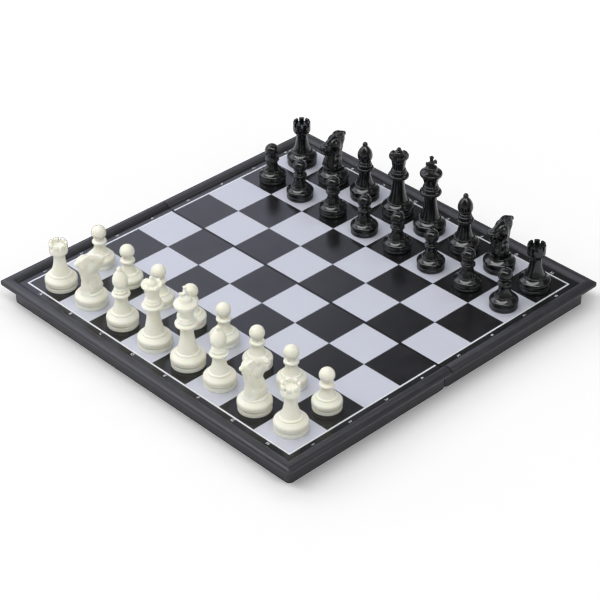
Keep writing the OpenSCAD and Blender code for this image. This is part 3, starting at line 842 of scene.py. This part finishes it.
def knight_mesh():
    """A turned foot with the carved horse, whose surface is smoothed a little, standing in it."""
    x, y, z = (np.arange(start, end, HORSE_STEP) for start, end in HORSE_SPAN)
    field = horse_field(x, y, z)
    field = np.maximum(field, (HORSE_FOOT_Z - z)[None, None, :])
    points, quads = surface_of(field, (x[0], y[0], z[0]), HORSE_STEP)
    horse = mesh_of("horse", points * MM, quads)
    obj = new_object("scratch", horse)
    calm = obj.modifiers.new("calm", "SMOOTH")
    calm.factor = 0.5
    calm.iterations = HORSE_CALM
    horse = applied(obj)
    bpy.data.objects.remove(obj)
    path = foot(9.7, 6.4) + [(5.6, FOOT_H), (0, FOOT_H)]
    return joined("knight", [rounded(turned("foot", metres(path)), EDGE_R), horse])


# ---------- men in their places ----------

MAKERS = {
    "pawn": pawn_mesh,
    "rook": rook_mesh,
    "knight": knight_mesh,
    "bishop": bishop_mesh,
    "queen": queen_mesh,
    "king": king_mesh,
}
FOOT_BAND = 2 * MM
MAN_TURN = {"black_rook_a8": 9}  # degrees, where a man stands a little turned


def foot_middle(node):
    """Where the middle of a man's foot stands, read from the lowest part of its node."""
    low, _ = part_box(node)
    band = [v.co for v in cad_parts[node].data.vertices if v.co.z < low.z + FOOT_BAND]
    xs, ys = [p.x for p in band], [p.y for p in band]
    return Vector(((min(xs) + max(xs)) / 2, (min(ys) + max(ys)) / 2, low.z))


for kind, make in MAKERS.items():
    shape = make()
    smooth_all(shape)
    for side in SIDES:
        mesh = shape.copy()
        mesh.name = f"{side} {kind}"
        coat(mesh, plastic[side])
        for node in sorted(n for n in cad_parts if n.startswith(f"{side}_{kind}_")):
            man = new_object(node + ".man", mesh)
            man.location = foot_middle(node)
            man.rotation_euler.z = math.radians(MAN_TURN.get(node, 0))
            if side == "white":
                man.rotation_euler.z += math.pi
            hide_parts(node)
            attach(man, node + "_body")


# ---------- coordinates ----------


def word_mesh(letter):
    """A flat character LABEL_H high, centred on the origin."""
    curve = bpy.data.curves.new("label", "FONT")
    curve.body = letter
    curve.align_x = "CENTER"
    curve.size = LABEL_H / CAPITAL_SHARE
    curve.offset = LABEL_WEIGHT
    obj = new_object("scratch", curve)
    mesh = applied(obj)
    bpy.data.objects.remove(obj)
    mesh.transform(Matrix.Translation((0, -LABEL_H / 2, 0)))
    return mesh


def square_middle(index):
    """Distance of a file's middle from the middle of the board; the ranks add the fold."""
    return (index - 3.5) * SQUARE


for side in SIDES:
    sign = -1 if side == "white" else 1
    labels = []
    for index, letter in enumerate(FILES):
        labels.append((letter.upper(), square_middle(index), sign * LABEL_OFF))
    for rank in range(1, 9):
        if (rank > 4) == (side == "black"):
            y = square_middle(rank - 1) + sign * FOLD_STRIP / 2
            labels += [(str(rank), -LABEL_OFF, y), (str(rank), LABEL_OFF, y)]
    turn = Matrix.Rotation(math.pi if side == "black" else 0, 4, "Z")
    parts = []
    for letter, x, y in labels:
        mesh = word_mesh(letter)
        mesh.transform(Matrix.Translation((x, y, surface_z + LABEL_RISE)) @ turn)
        parts.append(mesh)
    mesh = joined(f"{side} coordinates", parts)
    coat(mesh, white_print)
    label_piece = new_object(f"{side}_coordinates", mesh)
    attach(label_piece, side + "_half")


# ---------- case and links ----------

CASE_EDGE_R = 0.3 * MM
WELD = 0.005 * MM


def softened(node, body):
    """A copy of a CAD node with its flat faces merged and its edges rounded over."""
    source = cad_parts[node]
    build = bmesh.new()
    build.from_mesh(source.data)
    bmesh.ops.remove_doubles(build, verts=build.verts, dist=WELD)
    bmesh.ops.dissolve_limit(
        build, angle_limit=math.radians(0.5), verts=build.verts, edges=build.edges
    )
    mesh = bpy.data.meshes.new(node)
    build.to_mesh(mesh)
    build.free()
    shape = rounded(mesh, CASE_EDGE_R, angle=30, segments=3)
    smooth_all(shape, 40)
    coat(shape, charcoal)
    piece = new_object(node + ".moulding", shape)
    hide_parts(node)
    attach(piece, body)


for side in SIDES:
    softened(side + "_case", side + "_half")
for end in ("left", "right"):
    softened(end + "_hinge_link", "hinge_links")


# ---------- studio ----------

FLOOR_HALF = 3.0
COOL = (0.92, 0.95, 1.17)  # the left lamp's slightly blue light
BEYOND = (-0.731, 0.682, 0)  # level, from the camera's side of the board to the far side
HORIZON_NEAR, HORIZON_FAR, ZENITH = 0.4, 0.25, 0.12  # strengths
FAR_FROM, FAR_TO = 0.55, 0.85  # cosine to BEYOND, where near fades to far
RISE_FROM, RISE_TO = 0.2, 0.45  # sine of the height, where the horizon fades to the zenith


def make_world():
    """White where the camera looks past the object, and soft grey light for all other rays: pale
    near the horizon, less so on the far side, and dim above. The squares and the men mirror this
    grey, because the photo's mirror dark surroundings."""
    world = bpy.data.worlds.new("studio")
    bpy.context.scene.world = world
    world.use_nodes = True
    nodes, links = world.node_tree.nodes, world.node_tree.links
    background = nodes["Background"]
    path = nodes.new("ShaderNodeLightPath")
    place = nodes.new("ShaderNodeTexCoord")
    split = nodes.new("ShaderNodeSeparateXYZ")
    links.new(place.outputs["Generated"], split.inputs[0])
    beyond = nodes.new("ShaderNodeVectorMath")
    beyond.operation = "DOT_PRODUCT"
    links.new(place.outputs["Generated"], beyond.inputs[0])
    beyond.inputs[1].default_value = BEYOND
    horizon = nodes.new("ShaderNodeMapRange")
    horizon.interpolation_type = "SMOOTHSTEP"
    links.new(beyond.outputs["Value"], horizon.inputs[0])
    for index, value in ((1, FAR_FROM), (2, FAR_TO), (3, HORIZON_NEAR), (4, HORIZON_FAR)):
        horizon.inputs[index].default_value = value
    sky = nodes.new("ShaderNodeMapRange")
    sky.interpolation_type = "SMOOTHSTEP"
    links.new(split.outputs[2], sky.inputs[0])
    links.new(horizon.outputs[0], sky.inputs[3])
    for index, value in ((1, RISE_FROM), (2, RISE_TO), (4, ZENITH)):
        sky.inputs[index].default_value = value
    seen = nodes.new("ShaderNodeMath")
    seen.operation = "MAXIMUM"
    links.new(path.outputs["Is Camera Ray"], seen.inputs[0])
    links.new(path.outputs["Is Transmission Ray"], seen.inputs[1])
    mix = nodes.new("ShaderNodeMix")
    links.new(seen.outputs[0], mix.inputs[0])
    links.new(sky.outputs[0], mix.inputs[2])
    mix.inputs[3].default_value = 1
    links.new(mix.outputs[0], background.inputs["Strength"])
    background.inputs["Color"].default_value = (1, 1, 1, 1)


def make_floor():
    """A plain white floor that keeps the object's soft shadow."""
    span = FLOOR_HALF
    low = cad_box[0][2]
    corners = [(-span, -span, low), (span, -span, low), (span, span, low), (-span, span, low)]
    plane = new_object("floor", mesh_of("floor", corners, [(0, 1, 2, 3)]))
    plane.is_shadow_catcher = True
    f = Finish("floor", Roughness=0.9)
    f.into("Base Color", f.blend(f.noise(0.4, 2), rgb(0.93, 0.93, 0.93), rgb(0.95, 0.95, 0.95)))
    coat(plane.data, f.material)


def softbox(name, azimuth, elevation, distance, size, power, colour=(1, 1, 1)):
    """A rectangular area light that faces the board from a compass direction (0 is the +Y side)."""
    light = bpy.data.lights.new(name, "AREA")
    light.shape = "RECTANGLE"
    light.size, light.size_y = size
    light.energy = power
    light.color = colour
    obj = bpy.data.objects.new(name, light)
    bpy.context.scene.collection.objects.link(obj)
    a, e = math.radians(azimuth), math.radians(elevation)
    away = Vector((math.sin(a) * math.cos(e), math.cos(a) * math.cos(e), math.sin(e)))
    obj.location = distance * away
    obj.rotation_euler = away.to_track_quat("Z", "Y").to_euler()


def make_camera():
    """The photographer's view, CAMERA_DISTANCE from the point CAMERA_AIM."""
    data = bpy.data.cameras.new("camera")
    data.lens, data.sensor_width, data.clip_end = CAMERA_LENS, SENSOR, CAMERA_REACH
    obj = bpy.data.objects.new("camera", data)
    bpy.context.scene.collection.objects.link(obj)
    a, e, r = (math.radians(v) for v in (CAMERA_AZIMUTH, CAMERA_ELEVATION, CAMERA_ROLL))
    back = Vector((math.sin(a) * math.cos(e), -math.cos(a) * math.cos(e), math.sin(e)))
    level = Vector((math.cos(a), math.sin(a), 0))
    rise = back.cross(level)
    right = level * math.cos(r) + rise * math.sin(r)
    up = rise * math.cos(r) - level * math.sin(r)
    turn = Matrix((right, up, back)).transposed().to_4x4()
    obj.matrix_world = Matrix.Translation(Vector(CAMERA_AIM) + CAMERA_DISTANCE * back) @ turn
    bpy.context.scene.camera = obj


make_world()
make_floor()
softbox("front", azimuth=158, elevation=66, distance=2.0, size=(3.4, 0.46), power=34.0)
softbox("front left", azimuth=236, elevation=32, distance=1.2, size=(1.2, 0.9), power=3.2)
softbox("right", azimuth=80, elevation=45, distance=1.6, size=(1.3, 0.9), power=3.0)
softbox("back", azimuth=313, elevation=62, distance=1.4, size=(2.0, 0.3), power=4.2)
softbox("left", azimuth=266, elevation=37, distance=1.3, size=(2.3, 0.55), power=5.4, colour=COOL)
make_camera()

bpy.context.scene.view_settings.view_transform = "Standard"
